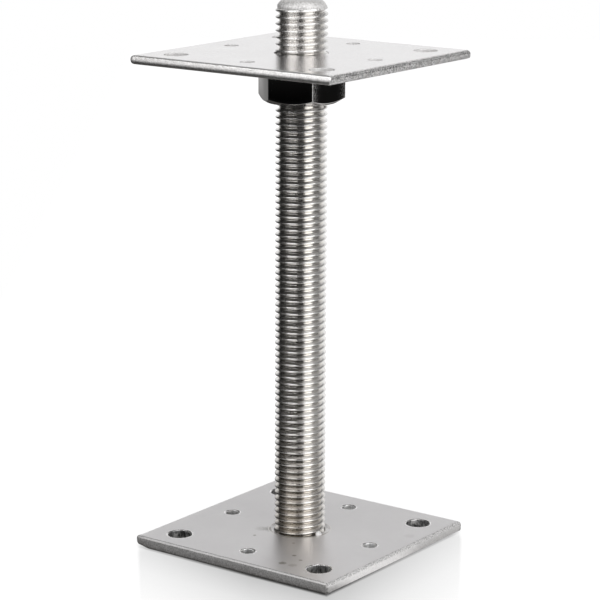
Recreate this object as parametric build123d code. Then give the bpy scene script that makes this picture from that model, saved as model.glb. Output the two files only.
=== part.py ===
from build123d import *
from math import ceil, cos, pi, radians, tan
import os

# Adjustable post base: a square foot plate with a threaded rod standing in it, a hexagon nut on
# the rod, and a square head plate that rests on the nut and carries the post. Turning the nut
# raises and lowers the head plate. The underside of the foot plate is at height 0, and the rod
# stands on the vertical axis. Lengths are in millimetres and angles in degrees.

# Both plates
plate_side = 110.0
plate_corner_r = 0.8            # rounding of the four corners, seen from above
sheared_edge_r = 1.6            # edge that the shear drew over as it cut the sheet
torn_edge_width = 0.55          # slope of the torn edge across from it, along the sheet
torn_edge_share = 0.55          # how much of the sheet's thickness that slope takes up
anchor_hole_d = 11.0            # one hole in each corner
anchor_spacing = 80.0
screw_hole_d = 6.5              # one hole near the middle of each side
screw_circle_d = 80.0
base_thickness = 5.0
top_thickness = 4.0

# Rod, with a coarse metric thread over its whole length
rod_length = 251.5
thread_d = 24.0
thread_pitch = 3.0
thread_depth_per_pitch = 0.61343
rod_top_chamfer = 3.4
rod_foot_chamfer = 2.0
rod_turn = 15.9                 # turn of the rod about its axis, which places the thread's crests
rod_recess = 1.5                # height of the rod's lower end above the foot plate's underside

# Nut
nut_across_flats = 35.4
nut_height = 18.0
nut_corner_r = 0.8              # rounding of the upright corners
nut_chamfer_circle_d = 32.0     # flat ring on each end face, inside the chamfer
nut_chamfer_angle = 30.0
nut_mouth_d = 25.6              # countersink where the thread starts
nut_turn = 20.0                 # direction that one flat faces, from the X axis
rod_above_plate = 23.6          # how far the rod stands out above the head plate

# Fits between the pieces
rod_hole_clearance = 0.25       # from the rod's crests to the plates' middle holes
thread_clearance = 0.2          # from the rod's thread to the nut's thread, along the radius

# Middle hole of the foot plate and the weld below it
foot_ring_width = 1.15          # bevel round the rod on the foot plate's upper face
weld_groove_depth = 2.25        # bevel round the rod on the underside, filled by the weld
weld_lap = 1.4                  # how far the weld runs in under the rod's end
weld_root = 1.9                 # how far up the rod's end chamfer the weld reaches
weld_inset = 0.2                # how far the weld stays back from the underside
weld_crown = 0.35               # how far the weld stands out from a straight slope

# Sizes that follow from the ones above
crest_r = thread_d / 2
root_r = crest_r - thread_depth_per_pitch * thread_pitch
rod_hole_r = crest_r + rod_hole_clearance
rod_bottom_z = rod_recess
rod_top_z = rod_bottom_z + rod_length
top_plate_z = rod_top_z - rod_above_plate - top_thickness
nut_top_z = top_plate_z
nut_bottom_z = nut_top_z - nut_height


def turned(*points):
    """Solid of revolution about the vertical axis, from its half section as radius and height."""
    section = Wire.make_polygon([(r, 0, z) for r, z in points])
    return Solid.revolve(Face(section), 360, Axis.Z)


def helix(radius, z):
    """One turn of a right-hand helix that starts at height z above the X axis."""
    return Edge.make_helix(thread_pitch, thread_pitch, radius, center=(0, 0, z)).edges()[0]


def thread_core(inner_r, outer_r, bottom_z, top_z):
    """Threaded bar with one right-hand V thread, at least from bottom_z to top_z.

    Its crests lie in line with those of the rod. Each turn is two flanks, one from root to crest
    and one from crest to root. The two ends are closed by a helical floor and by the flat section
    that the last turn leaves open.
    """
    start_z = bottom_z - thread_pitch - (bottom_z - rod_bottom_z) % thread_pitch
    turns = ceil((top_z - start_z) / thread_pitch)
    middle = thread_pitch / 2
    lower_flank = Face.make_surface_from_curves(helix(inner_r, 0), helix(outer_r, middle))
    upper_flank = Face.make_surface_from_curves(helix(outer_r, middle), helix(inner_r, thread_pitch))
    axis_line = Edge.make_line((0, 0, 0), (0, 0, thread_pitch))
    floor = Face.make_surface_from_curves(axis_line, helix(inner_r, 0))
    outline = [(0, 0), (inner_r, 0), (outer_r, middle), (inner_r, thread_pitch), (0, thread_pitch)]
    step = Face(Wire.make_polygon([(r, 0, z) for r, z in outline]))
    faces = []
    for turn in range(turns):
        place = Location((0, 0, start_z + turn * thread_pitch))
        faces += [lower_flank.moved(place), upper_flank.moved(place)]
    for end_z in (start_z, start_z + turns * thread_pitch):
        place = Location((0, 0, end_z))
        faces += [floor.moved(place), step.moved(place)]
    return Solid(Shell(faces)).rotate(Axis.Z, rod_turn)


def plate(thickness):
    """Square sheet at height 0, with its sheared edges, corner holes and side holes.

    Two sides have their drawn-over edge below and their torn slope above it, and the other two
    the other way round.
    """
    half = plate_side / 2
    torn_z = thickness * (1 - torn_edge_share)
    section = Polygon((-half, 0), (half, 0), (half, torn_z), (half - torn_edge_width, thickness),
                      (torn_edge_width - half, thickness), (-half, torn_z), align=None)
    section = fillet(section.vertices().group_by(Axis.Y)[0], min(sheared_edge_r, torn_z))
    along_y = extrude(Plane.XZ * section, half, both=True)
    along_x = Pos(0, 0, thickness) * Rot(0, 0, 90) * Rot(180, 0, 0) * along_y
    outline = RectangleRounded(plate_side, plate_side, plate_corner_r)
    sheet = along_y & along_x & extrude(outline, thickness)
    anchors = GridLocations(anchor_spacing, anchor_spacing, 2, 2)
    screws = PolarLocations(screw_circle_d / 2, 4)
    holes = Sketch() + anchors * Circle(anchor_hole_d / 2) + screws * Circle(screw_hole_d / 2)
    return sheet - extrude(holes, thickness)


def base_plate():
    """Foot plate, with a bevel round the rod on top and a groove for the weld below."""
    ring_z = base_thickness - foot_ring_width
    groove_r = rod_hole_r + weld_groove_depth
    ring_r = rod_hole_r + foot_ring_width
    opening = turned((0, 0), (groove_r, 0), (rod_hole_r, weld_groove_depth), (rod_hole_r, ring_z),
                     (ring_r, base_thickness), (0, base_thickness))
    return plate(base_thickness) - opening


def top_plate():
    """Head plate, which rests on the nut and slides along the rod."""
    hole = turned((0, 0), (rod_hole_r, 0), (rod_hole_r, top_thickness), (0, top_thickness))
    return Pos(0, 0, top_plate_z) * (plate(top_thickness) - hole)


def threaded_rod():
    """Rod with both ends chamfered through the thread."""
    spare = thread_pitch / 4
    widest_r = crest_r + spare
    foot_r = crest_r - rod_foot_chamfer
    top_r = crest_r - rod_top_chamfer
    blank = turned((0, rod_bottom_z), (foot_r, rod_bottom_z), (widest_r, rod_bottom_z + widest_r - foot_r),
                   (widest_r, rod_top_z - widest_r + top_r), (top_r, rod_top_z), (0, rod_top_z))
    return thread_core(root_r, crest_r, rod_bottom_z, rod_top_z) & blank


def weld():
    """Ring of weld that joins the rod's lower end to the foot plate, out of sight below."""
    face_r = crest_r - rod_foot_chamfer
    groove_r = rod_hole_r + weld_groove_depth
    root_depth = min(weld_root, rod_foot_chamfer)
    lap_r = face_r - weld_lap
    toe_r = groove_r - weld_inset
    crown = ((lap_r + toe_r) / 2, (rod_bottom_z + weld_inset) / 2 - weld_crown)
    return turned((lap_r, rod_bottom_z), (face_r, rod_bottom_z),
                  (face_r + root_depth, rod_bottom_z + root_depth),
                  (rod_hole_r, rod_bottom_z + root_depth), (rod_hole_r, weld_groove_depth),
                  (toe_r, weld_inset), crown)


def adjusting_nut():
    """Hexagon nut, chamfered at both ends, with the thread that runs on the rod."""
    corner_r = nut_across_flats / 2 / cos(pi / 6)
    hexagon = RegularPolygon(corner_r, 6, major_radius=True, rotation=nut_turn + 30)
    hexagon = fillet(hexagon.vertices(), nut_corner_r)
    body = Pos(0, 0, nut_bottom_z) * extrude(hexagon, nut_height)
    ring_r = nut_chamfer_circle_d / 2
    rise = (corner_r - ring_r) * tan(radians(nut_chamfer_angle))
    body = body & turned((0, nut_bottom_z), (ring_r, nut_bottom_z), (corner_r, nut_bottom_z + rise),
                         (corner_r, nut_top_z - rise), (ring_r, nut_top_z), (0, nut_top_z))
    thread = thread_core(root_r + thread_clearance, crest_r + thread_clearance, nut_bottom_z, nut_top_z)
    body = body - thread
    mouth_r = nut_mouth_d / 2
    for face_z, inward in ((nut_bottom_z, 1), (nut_top_z, -1)):
        body = body - turned((0, face_z), (mouth_r, face_z), (0, face_z + inward * mouth_r))
    return body


nodes = {
    "base_plate": base_plate,
    "threaded_rod": threaded_rod,
    "weld": weld,
    "adjusting_nut": adjusting_nut,
    "top_plate": top_plate,
}

os.makedirs("parts", exist_ok=True)
for name, make in nodes.items():
    export_step(make(), f"parts/{name}.step")
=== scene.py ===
from math import atan2, cos, pi, radians, sin, sqrt, tan

import bmesh
import bpy
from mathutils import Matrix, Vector


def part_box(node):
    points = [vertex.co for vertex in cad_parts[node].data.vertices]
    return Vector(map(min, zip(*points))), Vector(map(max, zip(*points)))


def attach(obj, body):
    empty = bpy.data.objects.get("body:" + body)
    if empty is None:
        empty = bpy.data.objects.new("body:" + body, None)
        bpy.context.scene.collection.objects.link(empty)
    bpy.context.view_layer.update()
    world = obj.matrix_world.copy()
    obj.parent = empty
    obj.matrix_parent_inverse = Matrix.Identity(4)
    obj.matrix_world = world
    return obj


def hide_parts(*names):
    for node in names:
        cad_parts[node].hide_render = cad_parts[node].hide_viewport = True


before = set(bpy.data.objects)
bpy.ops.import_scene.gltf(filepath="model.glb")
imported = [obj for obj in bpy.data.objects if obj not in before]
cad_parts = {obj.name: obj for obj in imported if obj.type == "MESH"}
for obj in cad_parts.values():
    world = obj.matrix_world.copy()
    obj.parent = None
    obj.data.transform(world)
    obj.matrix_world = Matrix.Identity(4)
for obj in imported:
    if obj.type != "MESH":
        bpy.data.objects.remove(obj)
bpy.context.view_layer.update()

# Adjustable post base, dressed for the photograph. The five pieces of the real thing are modelled
# again over the frame's solids: two sheared and punched plates, the rod with its rolled thread, the
# hexagon nut and the weld below. A small tack weld beside the rod is added. Lengths are in metres,
# and mm turns millimetres into them.
mm = 0.001

base_low, base_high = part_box("base_plate")
top_low, top_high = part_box("top_plate")
rod_low, rod_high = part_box("threaded_rod")
nut_low, nut_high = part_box("adjusting_nut")

# Plates
plate_half = base_high.x
worn_corner_r = 1.8 * mm
plate_corner_r = 0.6 * mm
torn_slope = 0.65 * mm          # slope of a side that the shear broke, at its face
torn_share = 0.55               # how much of the thickness that slope takes up
torn_edge_share = 0.09          # how much the steeper bevel at its edge takes up
drawn_width = 1.7 * mm          # rounding of a side that the shear drew over
drawn_depth = 1.5 * mm
groove_out = 0.6 * mm           # how far the groove along the torn edge lies inside it
side_slope = 0.985              # steepest height of a normal that still belongs to a side
anchor_hole_r = 5.5 * mm
anchor_place = 40 * mm
screw_hole_r = 3.25 * mm
screw_place = 40 * mm
middle_hole_r = 12.25 * mm
foot_ring = 1.15 * mm           # bevel round the rod on the foot plate
weld_groove = 2.25 * mm         # bevel round the rod below it
painted_ring_r = 14.6 * mm             # ring of painted highlight round the rod on the foot plate

# Thread
pitch = 3 * mm
root_r = 10.0 * mm
root_round = 0.38 * mm
crest_round = 0.4 * mm
thread_depth = pitch * sqrt(3) / 2 - root_round - crest_round
crest_r = root_r + thread_depth
rod_turn = radians(15.9)
foot_face_r = 10 * mm
thread_play = 0.2 * mm

# Nut
nut_flat = 17.7 * mm
nut_turn = radians(20)
nut_ring_r = 16 * mm
nut_mouth_r = 12.8 * mm

# Modelling
round_sides = 144               # sides of a turned shape
same_point = 0.001 * mm         # points closer than this are one
level_play = 0.01 * mm          # points this close to a height are at it

# Directions, as the camera sees them
to_camera = (0.806, 0.592, 0.0)
from_camera = (-0.806, -0.592, 0.0)
to_right = (-0.592, 0.806, 0.0)
camera_turn = radians(126.3426)
even = (1.0, 1.0, 1.0)          # grain that is alike in all directions


# Modelling by hand

def deselect():
    """Leave no object selected."""
    bpy.ops.object.select_all(action="DESELECT")


def choose(piece):
    """Make one piece the active one, with nothing else selected."""
    deselect()
    bpy.context.view_layer.objects.active = piece
    piece.select_set(True)


def open_piece(piece):
    """Open one piece in edit mode, with all of it selected."""
    choose(piece)
    bpy.ops.object.mode_set(mode="EDIT")
    bpy.ops.mesh.select_mode(type="VERT")
    bpy.ops.mesh.select_all(action="SELECT")


def open_new(name):
    """Name the primitive that was just added and open it."""
    piece = bpy.context.object
    piece.name = name
    bpy.ops.object.transform_apply(location=True, rotation=True, scale=True)
    open_piece(piece)
    return piece


def close_piece():
    """Leave edit mode, with the piece's place in its mesh and its object at the origin."""
    bpy.ops.object.mode_set(mode="OBJECT")
    bpy.ops.object.transform_apply(location=True, rotation=True, scale=True)


def pick(kind, wanted):
    """Select those vertices, edges or faces of the open piece for which wanted holds."""
    modes = {"verts": "VERT", "edges": "EDGE", "faces": "FACE"}
    bpy.ops.mesh.select_mode(type=modes[kind])
    bpy.ops.mesh.select_all(action="DESELECT")
    mesh = bmesh.from_edit_mesh(bpy.context.object.data)
    for element in getattr(mesh, kind):
        if wanted(element):
            element.select_set(True)
    mesh.select_flush_mode()
    bmesh.update_edit_mesh(bpy.context.object.data)


def middle(element):
    """Middle of an edge or face."""
    return sum((v.co for v in element.verts), Vector()) / len(element.verts)


def draw_rings(centre, rings):
    """Extrude the selected loop through rings, each a height and half widths along x and y."""
    z, width, depth = rings[0]
    for next_z, next_width, next_depth in rings[1:]:
        bpy.ops.mesh.extrude_region_move(TRANSFORM_OT_translate={"value": (0, 0, next_z - z)})
        scale = (next_width / width, next_depth / depth, 1)
        bpy.ops.transform.resize(value=scale, center_override=(centre[0], centre[1], next_z))
        z, width, depth = next_z, next_width, next_depth


def round_rings(centre, rings):
    """The same for a round shape, each ring a height and a radius."""
    draw_rings(centre, [(z, r, r) for z, r in rings])


def paint(piece, material, wanted):
    """Give a material to those faces of the open piece for which wanted holds."""
    piece.data.materials.append(material)
    piece.active_material_index = len(piece.data.materials) - 1
    pick("faces", wanted)
    bpy.ops.object.material_slot_assign()


def cut(piece, tool, operation):
    """Boolean with a tool that is used up."""
    choose(piece)
    modifier = piece.modifiers.new("cut", "BOOLEAN")
    modifier.operation = operation
    modifier.solver = "MANIFOLD"
    modifier.object = tool
    bpy.ops.object.modifier_apply(modifier="cut")
    bpy.data.objects.remove(tool)


def smooth(piece, angle):
    """Shade a piece smooth, except across edges sharper than an angle in degrees."""
    choose(piece)
    bpy.ops.object.shade_smooth_by_angle(angle=radians(angle))


def lathe(name, rings):
    """Closed turned solid round the upright axis, from rings of height and radius."""
    z, r = rings[0]
    deselect()
    bpy.ops.mesh.primitive_circle_add(vertices=round_sides, radius=r, location=(0, 0, z), fill_type="NGON")
    piece = open_new(name)
    round_rings((0, 0), rings)
    bpy.ops.mesh.select_all(action="SELECT")
    bpy.ops.mesh.normals_make_consistent(inside=False)
    close_piece()
    return piece


# Plates

def torn_inset(depth, thickness):
    """How far the side stands back at a depth below the face that the shear broke out of."""
    inset = torn_slope * max(1 - depth / (thickness * torn_share), 0)
    return inset + 1.3 * max(thickness * torn_edge_share - depth, 0)


def drawn_inset(depth):
    """The same below the face that the shear drew over."""
    if depth >= drawn_depth:
        return 0
    return drawn_width * (1 - sqrt(1 - (1 - depth / drawn_depth) ** 2))


def side_rings(low, high):
    """Rings of a plate's side wall from its upper flat to its lower flat.

    The x sides are torn above and drawn over below, and the y sides the other way round.
    """
    depths = [step * mm for step in (0, 0.03, 0.08, 0.16, 0.3, 0.45, 0.8, 1.15, 1.6)]
    thickness = high - low
    levels = depths + [thickness - depth for depth in reversed(depths)]
    return [(high - depth, plate_half - max(torn_inset(depth, thickness), drawn_inset(thickness - depth)),
             plate_half - max(drawn_inset(depth), torn_inset(thickness - depth, thickness)))
            for depth in levels]


def plate(name, low, high, holes, middle_rings, play, groove_depth):
    """One sheared and punched plate, left open in edit mode.

    Its middle hole is shifted by the play that it has on the rod.
    """
    deselect()
    bpy.ops.mesh.primitive_plane_add(size=2 * plate_half, location=(0, 0, high))
    piece = open_new(name)
    pick("verts", lambda corner: corner.co.x > 0 > corner.co.y)
    bpy.ops.mesh.bevel(offset=worn_corner_r, segments=8, affect="VERTICES")
    pick("verts", lambda corner: abs(abs(corner.co.x) - abs(corner.co.y)) < 0.1 * mm)
    bpy.ops.mesh.bevel(offset=plate_corner_r, segments=6, affect="VERTICES")
    bpy.ops.mesh.select_all(action="SELECT")
    bpy.ops.mesh.delete(type="ONLY_FACE")
    for length in (plate_half, 2 * mm):
        pick("edges", lambda edge: edge.calc_length() > length)
        bpy.ops.mesh.subdivide(number_cuts=14)

    # The side wall, from a ring that keeps the flat's shading flat down to the same ring below
    rings = side_rings(low, high)
    first, last = rings[0], rings[-1]
    for spare in (0.1 * mm, groove_out, 1.2 * mm, 1.5 * mm):
        rings.insert(0, (first[0], first[1] - spare, first[2] - spare))
    rings.append((last[0], last[1] - 0.8 * mm, last[2] - 0.8 * mm))
    bpy.ops.mesh.select_all(action="SELECT")
    scale = (rings[0][1] / plate_half, rings[0][2] / plate_half, 1)
    bpy.ops.transform.resize(value=scale, center_override=(0, 0, high))
    draw_rings((0, 0), rings)

    # Holes, punched from above
    for x, y, r, rim in holes:
        hole_rings = punched_rings(low, high, r, rim)
        bpy.ops.mesh.primitive_circle_add(vertices=64, radius=hole_rings[0][1], location=(x, y, high))
        round_rings((x, y), hole_rings)
    bpy.ops.mesh.primitive_circle_add(vertices=round_sides, radius=middle_rings[0][1],
                                      location=(*play, high))
    round_rings(play, middle_rings)

    # The two flats
    for level in (high, low):
        pick("edges", lambda edge: edge.is_boundary and abs(middle(edge).z - level) < level_play)
        bpy.ops.mesh.fill(use_beauty=True)
    bpy.ops.mesh.select_all(action="SELECT")
    bpy.ops.mesh.remove_doubles(threshold=same_point)
    bpy.ops.mesh.normals_make_consistent(inside=False)

    # The sheet sinks a little along its torn edge towards the camera
    groove_x = first[1] - groove_out

    def in_groove(vertex):
        x, y, z = vertex.co.x, abs(vertex.co.y), vertex.co.z
        return abs(x - groove_x) < 0.05 * mm and y < plate_half - 1.5 * mm and abs(z - high) < level_play

    pick("verts", in_groove)
    bpy.ops.transform.translate(value=(0, 0, -groove_depth))

    # On the far side the shear drew the lower edge over less
    def on_far_edge(vertex):
        return vertex.co.x < drawn_width + 0.05 * mm - plate_half and vertex.co.z < low + drawn_depth

    pick("verts", on_far_edge)
    bpy.ops.transform.resize(value=(0.3, 1, 1), center_override=(-plate_half, 0, low))
    return piece


def punched_rings(low, high, r, rim):
    """Rings of a punched hole: drawn over round the top, cut in the middle, torn below."""
    torn = 0.12 * mm
    rings = [(high, r + rim + 0.4 * mm)]
    rim_shape = ((0.0, 1.0), (0.02, 0.72), (0.06, 0.5), (0.13, 0.32), (0.25, 0.17), (0.45, 0.06), (0.8, 0.0))
    for drop, inset in rim_shape:
        rings.append((high - drop * rim, r + rim * inset))
    rings += [(low + 2.0 * mm, r), (low + 1.2 * mm, r + torn / 2), (low + 0.15 * mm, r + torn)]
    rings += [(low, r + torn + 0.15 * mm), (low, r + torn + 0.6 * mm)]
    return rings


def foot_middle_rings(low, high):
    """Rings of the foot plate's middle hole: a ring round the rod above, the weld's groove below."""
    return [
        (high, middle_hole_r + foot_ring + 0.7 * mm),
        (high, middle_hole_r + foot_ring + 0.3 * mm),
        (high - 0.03 * mm, middle_hole_r + foot_ring),
        (high - 0.14 * mm, middle_hole_r + foot_ring * 0.85),
        (high - 0.2 * mm, middle_hole_r + foot_ring * 0.55),
        (high - 0.25 * mm, middle_hole_r + foot_ring * 0.2),
        (high - 0.31 * mm, middle_hole_r - 0.15 * mm),
        (high - 0.42 * mm, middle_hole_r - 0.28 * mm),
        (high - 0.9 * mm, middle_hole_r - 0.28 * mm),
        (high - 1.2 * mm, middle_hole_r),
        (low + weld_groove, middle_hole_r),
        (low + 0.1 * mm, middle_hole_r + weld_groove - 0.1 * mm),
        (low, middle_hole_r + weld_groove + 0.05 * mm),
        (low, middle_hole_r + weld_groove + 0.6 * mm),
    ]


def hole_places(rim):
    """Middle, radius and rim width of each punched hole."""
    anchors = [(x, y) for x in (-anchor_place, anchor_place) for y in (-anchor_place, anchor_place)]
    screws = [(screw_place, 0), (0, screw_place), (-screw_place, 0), (0, -screw_place)]
    return [(x, y, anchor_hole_r, rim) for x, y in anchors] + [(x, y, screw_hole_r, rim) for x, y in screws]


def roughen(low, high):
    """Tear the broken part of the sheared sides: upper on the x sides, lower on the y sides."""
    torn_depth = (high - low) * torn_share
    torn_edge = (high - low) * torn_edge_share

    def torn(vertex):
        x, y, z = abs(vertex.co.x), abs(vertex.co.y), vertex.co.z
        if x > plate_half - torn_slope and y < plate_half - 2 * mm:
            return high - torn_depth < z < high - torn_edge - level_play
        if y > plate_half - torn_slope and x < plate_half - 2 * mm:
            return low + torn_edge + level_play < z < low + torn_depth
        return False

    pick("verts", torn)
    bpy.ops.transform.vertex_random(offset=0.045 * mm, uniform=0.0, normal=1.0, seed=4)


def wear_corners(low):
    """Bend up the foot plate's worn corner, and knock a nick into the corner towards the camera."""
    def at_corner(vertex):
        x, y, z = vertex.co.x, -vertex.co.y, vertex.co.z
        return x > plate_half - 1.5 * mm and y > plate_half - 1.5 * mm and z < low + 0.8 * mm

    pick("verts", at_corner)
    bpy.ops.transform.translate(value=(-0.2 * mm, 0.2 * mm, 0.9 * mm), use_proportional_edit=True,
                                proportional_edit_falloff="SMOOTH", proportional_size=7 * mm)

    def in_nick(vertex):
        x, y, z = vertex.co.x, vertex.co.y, vertex.co.z
        return abs(x - plate_half + 2.6 * mm) < 0.7 * mm and y > plate_half - 1.5 * mm and z < low + 0.9 * mm

    pick("verts", in_nick)
    bpy.ops.transform.translate(value=(0, -0.9 * mm, 0.2 * mm))


# Thread

def thread_moves():
    """One turn of the thread's section, from the middle of one root to the middle of the next.

    Roots and crests are arcs between flanks at 60 degrees, and a flank has a short run at each
    end that keeps its middle flat.
    """
    half = pitch / 2
    points = []
    for angle in (0, 20, 40, 60):
        points.append((root_round * (1 - cos(radians(angle))), root_round * sin(radians(angle))))
    start = points[-1]
    crest_end = (thread_depth - crest_round / 2, half - crest_round * sqrt(3) / 2)
    for share in (0.15, 0.85):
        points.append(tuple(a + share * (b - a) for a, b in zip(start, crest_end)))
    for angle in (60, 40, 20, 0):
        points.append((thread_depth - crest_round * (1 - cos(radians(angle))),
                       half - crest_round * sin(radians(angle))))
    points += [(r, pitch - z) for r, z in reversed(points[:-1])]
    return [(b[0] - a[0], 0, b[1] - a[1]) for a, b in zip(points, points[1:])]


def thread_bar(name, inner_r, low, turns):
    """Closed bar with a right-hand thread."""
    deselect()
    bpy.ops.mesh.primitive_plane_add(size=mm, location=(inner_r, 0, low))
    bar = open_new(name)
    bpy.ops.mesh.merge(type="CENTER")
    for move in thread_moves():
        bpy.ops.mesh.extrude_region_move(TRANSFORM_OT_translate={"value": move})
    close_piece()
    screw = bar.modifiers.new("thread", "SCREW")
    screw.screw_offset = pitch
    screw.iterations = turns
    screw.steps = 64
    screw.render_steps = 64
    bpy.ops.object.modifier_apply(modifier="thread")
    open_piece(bar)
    bpy.ops.mesh.remove_doubles(threshold=same_point)
    halfway = low + turns * pitch / 2
    for upper in (False, True):
        pick("edges", lambda edge: edge.is_boundary and (middle(edge).z > halfway) == upper)
        bpy.ops.mesh.edge_face_add()
    bpy.ops.mesh.select_all(action="SELECT")
    bpy.ops.mesh.normals_make_consistent(inside=False)
    bpy.ops.transform.rotate(value=-rod_turn, orient_axis="Z", center_override=(0, 0, 0))
    close_piece()
    return bar


def rod():
    """Rod with both ends chamfered through the thread."""
    low = rod_low.z - pitch
    turns = round((rod_high.z - low) / pitch) + 2
    bar = thread_bar("threaded_rod_rolled", root_r, low, turns)

    def from_top(rings):
        """Rings given in mm, as depth below the rod's top and radius."""
        return [(rod_high.z - depth * mm, r * mm) for depth, r in rings]

    # The thread runs out below the top, where the rod is turned smooth
    cut(bar, lathe("rod_end", from_top([(4.2, 10.0), (3.9, 10.85), (3.3, 11.05), (-1.0, 11.05)])), "UNION")
    widest_r = crest_r + 0.5 * mm
    foot_chamfer = [(rod_low.z, foot_face_r), (rod_low.z + widest_r - foot_face_r, widest_r)]
    top_chamfer = from_top([(4.8, 12.3), (3.9, 11.75), (2.8, 11.3), (1.8, 10.75), (1.0, 10.15), (0.5, 9.6),
                            (0.2, 9.15), (0.05, 8.85), (0.0, 8.6)])
    cut(bar, lathe("rod_blank", foot_chamfer + top_chamfer), "INTERSECT")
    open_piece(bar)
    bpy.ops.mesh.dissolve_degenerate(threshold=same_point)
    close_piece()
    smooth(bar, 35)
    return bar


# Nut

def nut():
    """Hexagon nut, turned, milled flat on six sides, threaded and countersunk."""
    corner_r = nut_flat / cos(pi / 6)
    rise = (corner_r - nut_ring_r) * tan(radians(30))
    body = lathe("adjusting_nut_milled", [
        (nut_low.z, nut_ring_r),
        (nut_low.z + rise, corner_r),
        (nut_high.z - rise, corner_r),
        (nut_high.z, nut_ring_r),
    ])
    angles = [nut_turn + side * pi / 3 for side in range(6)]
    directions = [Vector((cos(angle), sin(angle), 0)) for angle in angles]
    open_piece(body)
    for out in directions:
        bpy.ops.mesh.select_all(action="SELECT")
        bpy.ops.mesh.bisect(plane_co=out * nut_flat, plane_no=out, use_fill=True, clear_outer=True)

    def on_flat(edge):
        """True for the edges round a milled flat, without those between its parts."""
        for out in directions:
            if all(abs(v.co.dot(out) - nut_flat) < 0.002 * mm for v in edge.verts):
                return edge.calc_face_angle(0) > radians(5)
        return False

    pick("edges", on_flat)
    bpy.ops.mesh.bevel(offset=0.22 * mm, segments=5, profile=0.5, affect="EDGES", clamp_overlap=True)
    bpy.ops.mesh.select_all(action="SELECT")
    bpy.ops.mesh.normals_make_consistent(inside=False)
    close_piece()

    # The tap starts whole turns above the rod's end, so that its crests lie in line with the rod's
    part_turn = (nut_low.z - rod_low.z) % pitch
    tap = thread_bar("nut_tap", root_r + thread_play, nut_low.z - pitch - part_turn, 9)
    cut(body, tap, "DIFFERENCE")
    for z, inward in ((nut_low.z, 1), (nut_high.z, -1)):
        sink = lathe("nut_countersink", [
            (z - inward * mm, nut_mouth_r + mm),
            (z + inward * 4 * mm, nut_mouth_r - 4 * mm),
        ])
        cut(body, sink, "DIFFERENCE")
    smooth(body, 35)
    return body


# Weld

def weld():
    """Ring of weld under the foot plate, with the ripples of its passes."""
    low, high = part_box("weld")
    inner_r = 8.6 * mm
    outer_r = 14.3 * mm
    centre = (0, 0, (low.z + high.z) / 2)
    segments = 240
    deselect()
    bpy.ops.mesh.primitive_torus_add(major_radius=(inner_r + outer_r) / 2, major_segments=segments,
                                     minor_radius=(outer_r - inner_r) / 2 * 0.98, minor_segments=24,
                                     location=centre)
    piece = open_new("weld_bead")
    tall = (high.z - low.z) / (outer_r - inner_r)
    bpy.ops.transform.resize(value=(1, 1, tall), center_override=centre)

    def on_ripple(vertex):
        """True for every fifth ring of the torus."""
        turn = atan2(vertex.co.y, vertex.co.x) / (2 * pi)
        return round(turn * segments) % 5 == 0

    pick("verts", on_ripple)
    bpy.ops.transform.shrink_fatten(value=-0.14 * mm)
    close_piece()
    smooth(piece, 60)
    return piece


def tack():
    """Small tack weld between the rod and the foot plate, low enough to go into the nut's mouth."""
    turn = radians(82)
    out = 12.35 * mm
    place = (cos(turn) * out, sin(turn) * out, base_high.z - 0.1 * mm)
    deselect()
    bpy.ops.mesh.primitive_uv_sphere_add(segments=32, ring_count=20, radius=1.5 * mm, location=place)
    piece = open_new("tack_weld")
    bpy.ops.transform.resize(value=(1.15, 0.85, 1.0), center_override=place)
    pick("verts", lambda vertex: vertex.co.z > place[2] + 0.9 * mm)
    bpy.ops.transform.translate(value=(0, -0.35 * mm, 0.12 * mm), use_proportional_edit=True,
                                proportional_edit_falloff="SMOOTH", proportional_size=1.2 * mm)
    bpy.ops.mesh.select_all(action="SELECT")
    bpy.ops.transform.vertex_random(offset=0.06 * mm, uniform=0.0, normal=0.5, seed=7)
    close_piece()
    smooth(piece, 70)
    return piece


# Materials

def add_node(tree, kind, inputs=None, **settings):
    """New node with its settings, and its inputs given as values or as another node's output."""
    made = tree.nodes.new(kind)
    for name, value in settings.items():
        setattr(made, name, value)
    for name, value in (inputs or {}).items():
        if isinstance(value, bpy.types.NodeSocket):
            tree.links.new(value, made.inputs[name])
        else:
            made.inputs[name].default_value = value
    return made


def maths(tree, operation, *values):
    """Result of one sum on values or masks."""
    return add_node(tree, "ShaderNodeMath", dict(enumerate(values)), operation=operation).outputs[0]


def vector_maths(tree, operation, *vectors):
    """Node that works on whole vectors."""
    return add_node(tree, "ShaderNodeVectorMath", dict(enumerate(vectors)), operation=operation)


def object_place(tree):
    """Place of a point in the coordinates of its own object."""
    return add_node(tree, "ShaderNodeTexCoord").outputs["Object"]


def from_axis(tree, place):
    """How far a place is from the upright axis."""
    level = vector_maths(tree, "MULTIPLY", place, (1.0, 1.0, 0.0)).outputs[0]
    return vector_maths(tree, "LENGTH", level).outputs["Value"]


def along(tree, place, direction):
    """How far a place lies in one direction."""
    return vector_maths(tree, "DOT_PRODUCT", place, direction).outputs["Value"]


def span(tree, value, low, high, start=0.0, end=1.0):
    """Map a mask that runs from start to end onto low to high."""
    made = add_node(tree, "ShaderNodeMapRange", {"Value": value, "From Min": start, "From Max": end,
                                                 "To Min": low, "To Max": high})
    return made.outputs["Result"]


def blend_colour(tree, mask, first, second, kind="MIX"):
    """Blend from the first colour to the second, each given as values or as an output."""
    mixed = add_node(tree, "ShaderNodeMix", data_type="RGBA", blend_type=kind)
    factor = mixed.inputs["Factor"]
    tree.links.new(mask, factor)
    for index, colour in ((6, first), (7, second)):
        if isinstance(colour, bpy.types.NodeSocket):
            tree.links.new(colour, mixed.inputs[index])
        else:
            mixed.inputs[index].default_value = (*colour, 1.0)
    return mixed.outputs[2]


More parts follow.
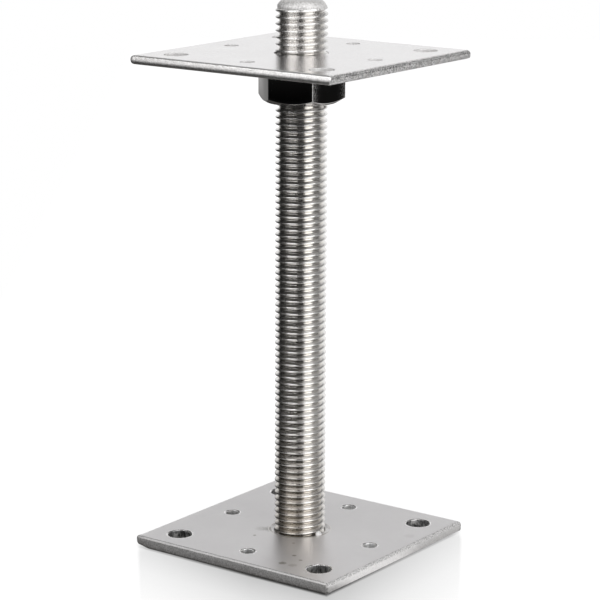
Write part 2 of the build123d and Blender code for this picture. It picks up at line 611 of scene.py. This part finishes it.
def grey_ramp(tree, mask, stops):
    """Greys along a mask, from stops of place and grey."""
    made = add_node(tree, "ShaderNodeValToRGB", {"Fac": mask})
    elements = made.color_ramp.elements
    while len(elements) < len(stops):
        elements.new(0.5)
    for element, (place, grey) in zip(elements, stops):
        element.position = place
        element.color = (grey, grey, grey, 1)
    return made.outputs["Color"]


# Shared effects

def new_group(name, inputs, output):
    """Node group for materials, with its inputs given as name: default value."""
    tree = bpy.data.node_groups.new(name, "ShaderNodeTree")
    for label, value in inputs.items():
        kind = "NodeSocketVector" if isinstance(value, tuple) else "NodeSocketFloat"
        tree.interface.new_socket(label, in_out="INPUT", socket_type=kind).default_value = value
    tree.interface.new_socket(output, in_out="OUTPUT", socket_type="NodeSocketFloat")
    return tree, tree.nodes.new("NodeGroupInput"), tree.nodes.new("NodeGroupOutput")


def grain_group():
    """Fine grain of a metal surface, drawn out along the way it was rolled."""
    tree, ins, outs = new_group("steel_grain", {"Stretch": even, "Scale": 900.0, "Detail": 4.0}, "Grain")
    drawn = vector_maths(tree, "MULTIPLY", object_place(tree), ins.outputs["Stretch"])
    noise = add_node(tree, "ShaderNodeTexNoise", {"Vector": drawn.outputs[0], "Scale": ins.outputs["Scale"],
                                                  "Detail": ins.outputs["Detail"], "Roughness": 0.6})
    tree.links.new(noise.outputs["Fac"], outs.inputs["Grain"])


def smudge_group():
    """Soft patches where a surface is stained or handled."""
    tree, ins, outs = new_group("smudges", {"Scale": 60.0, "Cover": 0.4, "Softness": 0.15}, "Smudges")
    noise = add_node(tree, "ShaderNodeTexNoise", {"Vector": object_place(tree),
                                                  "Scale": ins.outputs["Scale"], "Detail": 6.0,
                                                  "Roughness": 0.65, "Distortion": 0.6})
    edge = maths(tree, "SUBTRACT", 1.0, ins.outputs["Cover"])
    end = maths(tree, "ADD", edge, ins.outputs["Softness"])
    mask = add_node(tree, "ShaderNodeMapRange", {"Value": noise.outputs["Fac"], "From Min": edge,
                                                 "From Max": end}, interpolation_type="SMOOTHSTEP")
    tree.links.new(mask.outputs["Result"], outs.inputs["Smudges"])


def mark_group():
    """One small mark at a place on a surface, with a ragged outline."""
    tree, ins, outs = new_group("mark", {"Place": (0.0, 0.0, 0.0), "Size": 0.001}, "Mark")
    place = object_place(tree)
    ragged = add_node(tree, "ShaderNodeTexNoise", {"Vector": place, "Scale": 900.0, "Detail": 3.0})
    gap = vector_maths(tree, "DISTANCE", place, ins.outputs["Place"]).outputs["Value"]
    reach = maths(tree, "DIVIDE", gap, ins.outputs["Size"])
    edge = maths(tree, "ADD", reach, ragged.outputs["Fac"])
    mask = add_node(tree, "ShaderNodeMapRange", {"Value": edge, "From Min": 1.5, "From Max": 0.9})
    tree.links.new(mask.outputs["Result"], outs.inputs["Mark"])


def grain(tree, stretch, scale, detail=4.0):
    inputs = {"Stretch": stretch, "Scale": scale, "Detail": detail}
    return add_node(tree, "ShaderNodeGroup", inputs, node_tree=bpy.data.node_groups["steel_grain"]).outputs[0]


def smudges(tree, scale, cover, softness):
    inputs = {"Scale": scale, "Cover": cover, "Softness": softness}
    return add_node(tree, "ShaderNodeGroup", inputs, node_tree=bpy.data.node_groups["smudges"]).outputs[0]


def mark(tree, place, size):
    inputs = {"Place": place, "Size": size}
    return add_node(tree, "ShaderNodeGroup", inputs, node_tree=bpy.data.node_groups["mark"]).outputs[0]


# One material each

def new_material(name, metallic=1.0):
    material = bpy.data.materials.new(name)
    material.use_nodes = True
    tree = material.node_tree
    shader = tree.nodes["Principled BSDF"]
    shader.inputs["Metallic"].default_value = metallic
    return material, tree, shader


def dress(tree, shader, colour, roughness, height, strength, distance):
    """Give a shader its colour and its roughness, and a bump as high as one of its masks."""
    raised = add_node(tree, "ShaderNodeBump", {"Height": height, "Strength": strength, "Distance": distance})
    tree.links.new(colour, shader.inputs["Base Color"])
    tree.links.new(roughness, shader.inputs["Roughness"])
    tree.links.new(raised.outputs["Normal"], shader.inputs["Normal"])


def painted_ring_highlight(tree, colour):
    """Painted highlight, a light ragged ring round the rod, with painted shade in a darker band inside it."""
    radius = from_axis(tree, object_place(tree))
    patches = span(tree, grain(tree, even, 260.0), 0.0, 1.0, 0.4, 0.6)
    inside = maths(tree, "MULTIPLY", span(tree, radius, 1.0, 0.0, painted_ring_r - 0.3 * mm, painted_ring_r), patches)
    colour = blend_colour(tree, span(tree, inside, 0.0, 0.6), colour, (0.5, 0.46, 0.42))
    ring = maths(tree, "MULTIPLY", span(tree, radius, 0.0, 1.0, painted_ring_r - 0.3 * mm, painted_ring_r),
                 span(tree, radius, 1.0, 0.0, painted_ring_r + 0.1 * mm, painted_ring_r + 0.5 * mm))
    return blend_colour(tree, span(tree, ring, 0.0, 0.9), colour, (1.0, 0.98, 0.96))


def sheet_steel(name, shade, roughness, marks, with_painted_ring):
    """Cold-rolled sheet with a satin skin, lightly stained, with a few marks."""
    material, tree, shader = new_material(name)
    fine = grain(tree, (1.0, 0.25, 1.0), 1600.0)
    broad = grain(tree, even, 45.0, 3.0)
    stains = smudges(tree, 120.0, 0.36, 0.12)
    lighter = 0.04
    colour = blend_colour(tree, span(tree, broad, 0.0, 1.0, 0.3, 0.7), (shade, shade * 0.982, shade * 0.988),
                          (shade + lighter, shade * 0.985 + lighter, shade * 0.988 + lighter))
    colour = blend_colour(tree, span(tree, stains, 0.0, 0.25), colour, (0.66, 0.65, 0.65))
    for x, y, depth, size, strength, mark_colour in marks:
        one_mark = mark(tree, (x * mm, y * mm, base_high.z - depth * mm), size * mm)
        colour = blend_colour(tree, span(tree, one_mark, 0.0, strength), colour, mark_colour)
    # A painted highlight ring round the rod, with painted shade inside it
    if with_painted_ring:
        colour = painted_ring_highlight(tree, colour)
    dress(tree, shader, colour, span(tree, fine, roughness, roughness + 0.08, 0.3, 0.7), fine, 0.02, 0.00001)
    return material


def sheared_steel(name, dark, bright, metallic, patchy=0.6):
    """Sides of the plates, half cut and half torn by the shear."""
    material, tree, shader = new_material(name, metallic)
    torn = grain(tree, (1.0, 1.0, 0.8), 1700.0, 5.0)
    patches = grain(tree, (1.0, 1.0, 1.6), 380.0, 6.0)
    colour = blend_colour(tree, span(tree, torn, 0.0, 1.0, 0.38, 0.6), (dark, dark * 0.985, dark * 0.975),
                          (bright, bright * 0.985, bright * 0.98))
    colour = blend_colour(tree, span(tree, patches, 0.0, patchy, 0.52, 0.66), colour,
                          (dark, dark * 0.98, dark * 0.97))
    dress(tree, shader, colour, span(tree, torn, 0.36, 0.52, 0.3, 0.7), torn, 0.5, 0.0001)
    return material


def burnished_steel():
    """Edges that the tools rubbed bright."""
    material, tree, shader = new_material("burnished_edge")
    fine = grain(tree, even, 1500.0)
    patches = grain(tree, even, 260.0, 3.0)
    colour = blend_colour(tree, span(tree, patches, 0.0, 1.0, 0.44, 0.56), (0.6, 0.59, 0.585),
                          (0.97, 0.965, 0.96))
    dress(tree, shader, colour, span(tree, fine, 0.14, 0.3, 0.3, 0.7), fine, 0.15, 0.00005)
    return material


def punched_steel(name, dark, bright):
    """Walls of the punched holes, scored from top to bottom by the punch."""
    material, tree, shader = new_material(name)
    scores = grain(tree, (1.0, 1.0, 0.35), 700.0, 6.0)
    patches = grain(tree, even, 240.0, 3.0)
    colour = blend_colour(tree, span(tree, scores, 0.0, 1.0, 0.4, 0.62), (dark, dark, dark),
                          (bright, bright, bright))
    colour = blend_colour(tree, span(tree, patches, 0.0, 0.8, 0.5, 0.6), colour, (0.92, 0.91, 0.9))
    dress(tree, shader, colour, span(tree, scores, 0.42, 0.6, 0.3, 0.7), scores, 0.5, 0.0001)
    return material


def thread_steel():
    """Rolled thread, bright on the crests, warmer in the roots, with grime and painted shade near the foot
    plate, and more painted shade on the side to the camera's left there.
    """
    material, tree, shader = new_material("rolled_thread")
    place = object_place(tree)
    height = add_node(tree, "ShaderNodeSeparateXYZ", {0: place}).outputs["Z"]
    depth = span(tree, from_axis(tree, place), 0.0, 1.0, root_r + 0.1 * mm, root_r + 0.6 * mm)
    fine = grain(tree, (1.0, 1.0, 0.3), 1400.0)
    stains = smudges(tree, 220.0, 0.42, 0.15)
    colour = blend_colour(tree, depth, (0.8, 0.775, 0.735), (0.84, 0.828, 0.812))
    colour = blend_colour(tree, span(tree, stains, 0.0, 0.25), colour, (0.5, 0.48, 0.45))
    top = span(tree, height, 0.0, 1.0, 222 * mm, 232 * mm)
    colour = blend_colour(tree, span(tree, top, 0.0, 0.35), colour, (0.6, 0.59, 0.58))
    # Darker and browner towards the foot plate, most in the roots: partly grime, partly painted shade
    foot = span(tree, height, 1.0, 0.0, 12 * mm, 60 * mm)
    grime_and_painted_shade = maths(tree, "MULTIPLY", foot, span(tree, depth, 1.0, 0.5))
    colour = blend_colour(tree, span(tree, grime_and_painted_shade, 0.0, 0.55), colour, (0.3, 0.26, 0.2))
    # Painted shade on the rod's side to the camera's left, low down near the foot plate
    left = span(tree, along(tree, place, to_right), 1.0, 0.0, -1 * mm, 2 * mm)
    dirt_and_painted_shade = maths(tree, "MULTIPLY", foot, left)
    colour = blend_colour(tree, span(tree, dirt_and_painted_shade, 0.0, 0.3), colour, (0.2, 0.15, 0.08))
    roughness = maths(tree, "ADD", span(tree, fine, 0.18, 0.24, 0.3, 0.7), span(tree, top, 0.0, 0.05))
    dress(tree, shader, colour, roughness, fine, 0.03, 0.00003)
    return material


def turned_steel():
    """Chamfer turned on the rod's ends, dull and speckled."""
    material, tree, shader = new_material("turned_end", 0.5)
    specks = grain(tree, (1.0, 1.0, 0.6), 1300.0, 6.0)
    colour = blend_colour(tree, span(tree, specks, 0.0, 1.0, 0.42, 0.58), (0.6, 0.59, 0.58),
                          (0.82, 0.81, 0.805))
    dress(tree, shader, colour, span(tree, specks, 0.45, 0.65, 0.3, 0.7), specks, 0.4, 0.0002)
    return material


def nut_steel():
    """Bright nut, mottled by handling and scuffed at the corners of one flat."""
    material, tree, shader = new_material("nut_steel")
    fine = grain(tree, even, 1100.0, 5.0)
    specks = grain(tree, (1.0, 1.0, 0.6), 2600.0, 3.0)
    stains = smudges(tree, 240.0, 0.42, 0.2)
    place = object_place(tree)
    corner = span(tree, from_axis(tree, place), 0.0, 1.0, nut_flat + 0.5 * mm, nut_flat + 2.4 * mm)
    scuffed_flat = (0.1736, 0.9848, 0.0)
    ahead = along(tree, place, scuffed_flat)
    on_flat = span(tree, ahead, 0.15, 1.0, nut_flat - 0.3 * mm, nut_flat - 0.05 * mm)
    worn = maths(tree, "MULTIPLY", corner, on_flat)
    scuffs = maths(tree, "MULTIPLY", worn, span(tree, specks, 0.0, 1.0, 0.4, 0.62))
    colour = blend_colour(tree, span(tree, stains, 0.0, 1.0), (0.6, 0.585, 0.575), (0.5, 0.485, 0.475))
    roughness = maths(tree, "ADD", span(tree, fine, 0.05, 0.1, 0.3, 0.7), span(tree, scuffs, 0.0, 0.45))
    dress(tree, shader, colour, roughness, fine, 0.12, 0.00003)
    return material


def weld_steel():
    """Dull weld metal with a scaly skin."""
    material, tree, shader = new_material("weld_metal")
    fine = grain(tree, even, 700.0, 6.0)
    colour = blend_colour(tree, span(tree, fine, 0.0, 1.0, 0.3, 0.7), (0.34, 0.31, 0.28), (0.56, 0.54, 0.52))
    dress(tree, shader, colour, span(tree, fine, 0.3, 0.5, 0.3, 0.7), fine, 0.3, 0.0001)
    return material


# Room

def in_metal(tree, rays):
    """True for what is seen in metal or through glass."""
    return maths(tree, "MAXIMUM", rays.outputs["Is Glossy Ray"], rays.outputs["Is Transmission Ray"])


def room():
    """White wall behind the part and a darker room in front of it, as metal sees them."""
    world = bpy.data.worlds.new("room")
    bpy.context.scene.world = world
    world.use_nodes = True
    tree = world.node_tree
    tree.nodes.clear()
    direction = add_node(tree, "ShaderNodeTexCoord").outputs["Generated"]
    height = add_node(tree, "ShaderNodeSeparateXYZ", {0: direction}).outputs["Z"]
    level = vector_maths(tree, "MULTIPLY", direction, (1.0, 1.0, 0.0)).outputs[0]
    heading = vector_maths(tree, "NORMALIZE", level).outputs[0]
    right = along(tree, heading, to_right)
    behind = along(tree, heading, from_camera)
    left = along(tree, heading, (0.788, -0.616, 0.0))

    def by_height(*stops):
        """Grey from low to high, each stop the sine of an angle above level and a grey."""
        mask = span(tree, height, 0.0, 1.0, -1.0, 1.0)
        return grey_ramp(tree, mask, [((sine + 1) / 2, grey) for sine, grey in stops])

    # The dark room with a low strip of light at the left, the near wall at the right, the white wall
    dark = by_height((-1.0, 0.035), (-0.4, 0.025), (-0.25, 0.001), (0.0, 0.01), (0.3, 0.04), (0.93, 0.04),
                     (0.96, 0.8))
    low_strip = by_height((-1.0, 0.0), (0.08, 0.0), (0.17, 0.75), (0.36, 0.75), (0.44, 0.0), (1.0, 0.0))
    near = by_height((-1.0, 0.01), (-0.12, 0.008), (0.05, 0.2), (0.3, 0.5), (0.6, 0.5), (0.8, 0.2),
                     (0.93, 0.06), (0.96, 0.8))
    white_wall = by_height((-1.0, 0.12), (-0.5, 0.25), (-0.2, 0.6), (-0.04, 0.95), (0.0, 1.0), (0.2, 1.0),
                           (0.36, 1.0), (0.52, 0.28), (0.7, 0.08), (0.93, 0.05), (0.96, 0.8))
    on_wall = maths(tree, "MULTIPLY", span(tree, right, 0.0, 1.0, -0.64, -0.15),
                    span(tree, behind, 0.0, 1.0, 0.3, 0.6))
    seen = blend_colour(tree, span(tree, left, 0.0, 1.0, 0.94, 0.975), dark, low_strip, "ADD")
    seen = blend_colour(tree, span(tree, right, 0.0, 1.0, 0.5, 0.85), seen, near)
    seen = blend_colour(tree, on_wall, seen, white_wall)

    # The camera sees plain white all round, and metal sees it behind the part
    lit = add_node(tree, "ShaderNodeBackground", {"Color": seen})
    white = add_node(tree, "ShaderNodeBackground", {"Color": (1, 1, 1, 1)})
    above = maths(tree, "MULTIPLY", span(tree, height, 0.0, 1.0, -0.01, 0.0),
                  span(tree, height, 1.0, 0.0, 0.3, 0.36))
    backdrop = maths(tree, "MULTIPLY", on_wall, above)
    rays = add_node(tree, "ShaderNodeLightPath")
    reflected = maths(tree, "MULTIPLY", in_metal(tree, rays), backdrop)
    shown = maths(tree, "MAXIMUM", rays.outputs["Is Camera Ray"], reflected)
    chosen = add_node(tree, "ShaderNodeMixShader", {0: shown, 1: lit.outputs[0], 2: white.outputs[0]})
    out = add_node(tree, "ShaderNodeOutputWorld")
    tree.links.new(chosen.outputs[0], out.inputs["Surface"])


def lamp(name, azimuth, elevation, distance, width, height, radiance):
    """Softbox that faces the part. Its radiance is what metal sees in it."""
    aim = Vector((0, 0, 0.11))
    turn, rise = radians(azimuth), radians(elevation)
    out = Vector((cos(turn) * cos(rise), sin(turn) * cos(rise), sin(rise)))
    bpy.ops.object.light_add(type="AREA", location=aim + out * distance,
                             rotation=out.to_track_quat("Z", "Y").to_euler())
    light = bpy.context.object
    light.name = name
    light.data.shape = "RECTANGLE"
    light.data.size = width
    light.data.size_y = height
    light.data.energy = radiance * pi * width * height
    light.visible_camera = False


def table_shadow(tree, place, across):
    """Shade on the table, dark close round the foot plate and fading out to the front."""
    parts = add_node(tree, "ShaderNodeSeparateXYZ", {0: place})
    front = maths(tree, "MAXIMUM", parts.outputs["X"], parts.outputs["Y"])
    back = maths(tree, "MINIMUM", parts.outputs["X"], parts.outputs["Y"])
    fade = grey_ramp(tree, span(tree, front, 0.0, 1.0, 0.05, 0.15),
                     [(0.0, 0.9), (0.048, 0.85), (0.062, 0.48), (0.3, 0.28), (0.65, 0.14), (1.0, 0.05)])
    beside = add_node(tree, "ShaderNodeMapRange", {"Value": back, "From Min": -0.06, "From Max": -0.045},
                      interpolation_type="SMOOTHSTEP").outputs["Result"]

    # It ends in a sharp line at both sides, below the foot plate's left and right corners
    half_width = span(tree, along(tree, place, to_camera), 0.0766, 0.0707, 0.0, 0.082)
    reach = maths(tree, "SUBTRACT", half_width, maths(tree, "ABSOLUTE", across))
    within = maths(tree, "MULTIPLY", span(tree, reach, 0.0, 1.0, -0.0005, 0.0015),
                   span(tree, reach, 0.5, 1.0, 0.0, 0.05))
    return maths(tree, "MULTIPLY", maths(tree, "MULTIPLY", fade, within), beside)


def white_table():
    """Table that glows white for the camera, less its shadow, and is dark at most sides in metal."""
    material = bpy.data.materials.new("white_table")
    material.use_nodes = True
    tree = material.node_tree
    tree.nodes.clear()
    place = object_place(tree)
    across = along(tree, place, to_right)
    away = vector_maths(tree, "LENGTH", place).outputs["Value"]
    shadow = table_shadow(tree, place, across)
    white = maths(tree, "SUBTRACT", span(tree, away, 0.9, 1.0, 0.08, 0.3), shadow)
    bearing = maths(tree, "DIVIDE", across, away)
    lit_side = maths(tree, "MULTIPLY", span(tree, bearing, 0.0, 1.0, 0.22, 0.4),
                     span(tree, bearing, 1.0, 0.35, 0.84, 0.98))
    rays = add_node(tree, "ShaderNodeLightPath")
    on_camera = rays.outputs["Is Camera Ray"]
    dimmed = maths(tree, "MULTIPLY", in_metal(tree, rays), span(tree, lit_side, 0.03, 0.4))
    strength = maths(tree, "MULTIPLY", maths(tree, "MAXIMUM", on_camera, dimmed), white)
    paper_colour = blend_colour(tree, lit_side, (0.08, 0.076, 0.07), (0.8, 0.8, 0.8))
    paper_colour = blend_colour(tree, on_camera, paper_colour, (0.2, 0.2, 0.2))
    paper = add_node(tree, "ShaderNodeBsdfDiffuse", {"Color": paper_colour})
    glow = add_node(tree, "ShaderNodeEmission", {"Color": (1, 1, 1, 1), "Strength": strength})
    both = add_node(tree, "ShaderNodeAddShader", {0: paper.outputs[0], 1: glow.outputs[0]})
    out = add_node(tree, "ShaderNodeOutputMaterial")
    tree.links.new(both.outputs[0], out.inputs["Surface"])
    return material


def floor():
    """Table that lies square to the camera and ends a little in front of the part."""
    back, right = 0.88, 0.1
    x, y = (back * from_camera[side] + right * to_right[side] for side in (0, 1))
    bpy.ops.mesh.primitive_plane_add(size=1, location=(x, y, -0.03 * mm), rotation=(0, 0, camera_turn))
    table = bpy.context.object
    table.name = "table"
    table.scale = (0.6, 2.0, 1)
    bpy.ops.object.transform_apply(location=True, rotation=True, scale=True)
    coat(table, white_table())


def camera():
    """Long lens a little above the head plate, where the photograph was taken from."""
    bpy.ops.object.camera_add(location=(0.86561, 0.63517, 0.36956),
                              rotation=(radians(76.6776), radians(-0.2306), camera_turn))
    made = bpy.context.object
    made.name = "camera"
    made.data.lens = 144.11
    bpy.context.scene.camera = made


# Faces that a material goes to

def on_x_side(face):
    """True for the faces of a plate's two sides across the X axis."""
    place = middle(face)
    x, y = abs(place.x), abs(place.y)
    return x > plate_half - 2.6 * mm and abs(face.normal.z) < side_slope and x - torn_slope > y - drawn_width


def on_y_side(face):
    """True for the faces of a plate's two sides across the Y axis."""
    place = middle(face)
    x, y = abs(place.x), abs(place.y)
    return y > plate_half - 2 * mm and abs(face.normal.z) < side_slope and x - torn_slope <= y - drawn_width


def on_torn_edge(low, high):
    """Test for the bevelled edge where a plate's torn side meets its face."""
    torn_edge = (high - low) * torn_edge_share
    reach = plate_half - 1.4 * mm
    spare = 0.003 * mm

    def wanted(face):
        place = middle(face)
        x, y, z = abs(place.x), abs(place.y), place.z
        if x > reach and y < plate_half - mm:
            return high - torn_edge < z < high - spare
        return y > reach and x < plate_half - mm and low + spare < z < low + torn_edge
    return wanted


def on_drawn_edge(upper, lower):
    """Test for the part of the y sides between two heights, which the shear drew over."""
    return lambda face: on_y_side(face) and lower < middle(face).z < upper


def on_chamfer(face):
    """True for the faces that were turned at the rod's two ends."""
    place = middle(face)
    r = sqrt(place.x ** 2 + place.y ** 2)
    if place.z > rod_high.z - 4.1 * mm:
        return r < crest_r - 0.3 * mm
    end = place.z - rod_low.z
    return abs(r - end - foot_face_r) < 0.1 * mm and abs(face.normal.z + sqrt(0.5)) < 0.02


def on_hole(places, steep, flat):
    """Test for the faces of the punched holes whose slope lies between two heights of their normal."""
    def wanted(face):
        place = middle(face)
        if not steep <= abs(face.normal.z) <= flat:
            return False
        return any(sqrt((place.x - x) ** 2 + (place.y - y) ** 2) < r + width for x, y, r, width in places)
    return wanted


def at_ends(places):
    """Test for the walls of the punched holes at their left and right ends in the photograph."""
    on_wall = on_hole(places, 0.0, 0.5)
    across = Vector(to_right)
    return lambda face: on_wall(face) and abs(face.normal.dot(across)) > 0.9


def coat(piece, material):
    """Give the whole piece one material."""
    piece.data.materials.clear()
    piece.data.materials.append(material)


def finish(piece, body, node):
    """Close the piece's dressing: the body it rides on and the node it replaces."""
    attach(piece, body)
    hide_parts(node)


# Camera, room and lights
camera()
room()
floor()
lamp("right_softbox", 76, 32, 0.5, 0.42, 1.2, 1.8)
lamp("left_softbox", -13, 42, 0.9, 0.66, 0.5, 3.2)
bpy.context.scene.view_settings.view_transform = "Standard"

# Marks on the foot plate, each x, y, depth below its face and size in mm, strength and colour
dirt_and_painted_shade = (0.4, 0.37, 0.33)
scratch = (0.99, 0.99, 0.99)
foot_marks = [
    (20.6, -10.9, 0.0, 1.0, 0.7, dirt_and_painted_shade),
    (42.8, 18.4, 0.0, 1.3, 0.6, (0.97, 0.97, 0.97)),
    (43.6, 22.5, 0.0, 2.2, 0.8, dirt_and_painted_shade),
    (43.2, 27.8, 0.0, 2.4, 0.35, dirt_and_painted_shade),
    (32.4, 20.6, 0.0, 1.3, 0.8, dirt_and_painted_shade),
    (35.7, 26.7, 0.0, 1.2, 0.6, dirt_and_painted_shade),
    (18.6, 10.1, 0.0, 1.0, 0.5, dirt_and_painted_shade),
    (8.4, -10.2, 0.2, 4.5, 0.7, (0.42, 0.4, 0.38)),
    (10.8, -14.2, 0.0, 3.6, 0.35, (0.55, 0.53, 0.51)),
    (-22.0, 47.5, 0.0, 3.4, 0.3, (0.72, 0.7, 0.7)),
    (-19.0, 43.5, 0.0, 1.2, 0.5, scratch),
    (-12.0, 46.0, 0.0, 1.0, 0.4, scratch),
]

# Materials
grain_group()
smudge_group()
mark_group()
# One sheet steel in two greys: the foot plate's is painted lighter, as painted light for the dimmer wall it
# reflects
foot_sheet = sheet_steel("cold_rolled_foot", 0.92, 0.4, foot_marks, with_painted_ring=True)
head_sheet = sheet_steel("cold_rolled_head", 0.8, 0.2, [], with_painted_ring=False)
dull = sheared_steel("sheared_dull", 0.36, 0.62, 0.45)
pale = sheared_steel("sheared_pale", 0.8, 1.0, 1.0)
matt = sheared_steel("sheared_matt", 0.78, 0.92, 0.3)
mottled = sheared_steel("sheared_mottled", 0.28, 1.0, 0.3)
drawn_foot = sheared_steel("drawn_over_foot", 0.45, 0.95, 0.5, 0.25)
drawn_head = sheared_steel("drawn_over_head", 0.08, 0.75, 0.7)
burnished = burnished_steel()
punched = punched_steel("punched_wall", 0.7, 0.86)
# Walls painted dark for holes that are dark inside: painted shade
painted_shade_wall = punched_steel("punched_wall_painted_shade", 0.12, 0.5)

# Foot plate
low, high = base_low.z, base_high.z
holes = hole_places(0.8 * mm)
base = plate("foot_plate_sheared", low, high, holes, foot_middle_rings(low, high), (0, 0), 0.135 * mm)
wear_corners(low)
roughen(low, high)
base.data.materials.append(foot_sheet)
paint(base, dull, on_x_side)
paint(base, matt, on_y_side)
paint(base, drawn_foot, on_drawn_edge(high, high - 1.2 * mm))
# The anchor holes' walls are painted dark: painted shade inside the holes
paint(base, painted_shade_wall, on_hole(holes[:4], 0.0, 0.5))
paint(base, punched, on_hole(holes[4:], 0.0, 0.5))
paint(base, burnished, on_hole(holes, 0.5, 0.998))
paint(base, matt, on_torn_edge(low, high))
paint(base, pale, on_hole([(0, 0, middle_hole_r, foot_ring)], 0.2, 0.9999))
close_piece()
smooth(base, 30)
finish(base, "foot", "base_plate")

# Head plate
low, high = top_low.z, top_high.z
holes = hole_places(0.35 * mm)
head_middle = punched_rings(low, high, middle_hole_r, 0.45 * mm)
head = plate("head_plate_sheared", low, high, holes, head_middle, (0.14 * mm, -0.18 * mm), 0.16 * mm)
roughen(low, high)
head.data.materials.append(head_sheet)
paint(head, pale, on_x_side)
paint(head, mottled, on_y_side)
paint(head, drawn_head, on_drawn_edge(high - 0.3 * mm, high - 1.5 * mm))
paint(head, matt, on_hole(holes, 0.0, 0.9))
# The walls at the holes' left and right ends are painted dark: painted shade
paint(head, painted_shade_wall, at_ends(holes))
close_piece()
smooth(head, 30)
finish(head, "head", "top_plate")

# Rod
bar = rod()
coat(bar, thread_steel())
open_piece(bar)
paint(bar, turned_steel(), on_chamfer)
close_piece()
finish(bar, "foot", "threaded_rod")

# Nut
hexagon = nut()
coat(hexagon, nut_steel())
finish(hexagon, "nut", "adjusting_nut")

# Weld and tack weld
bead = weld()
coat(bead, weld_steel())
finish(bead, "foot", "weld")
spot = tack()
coat(spot, matt)
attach(spot, "foot")
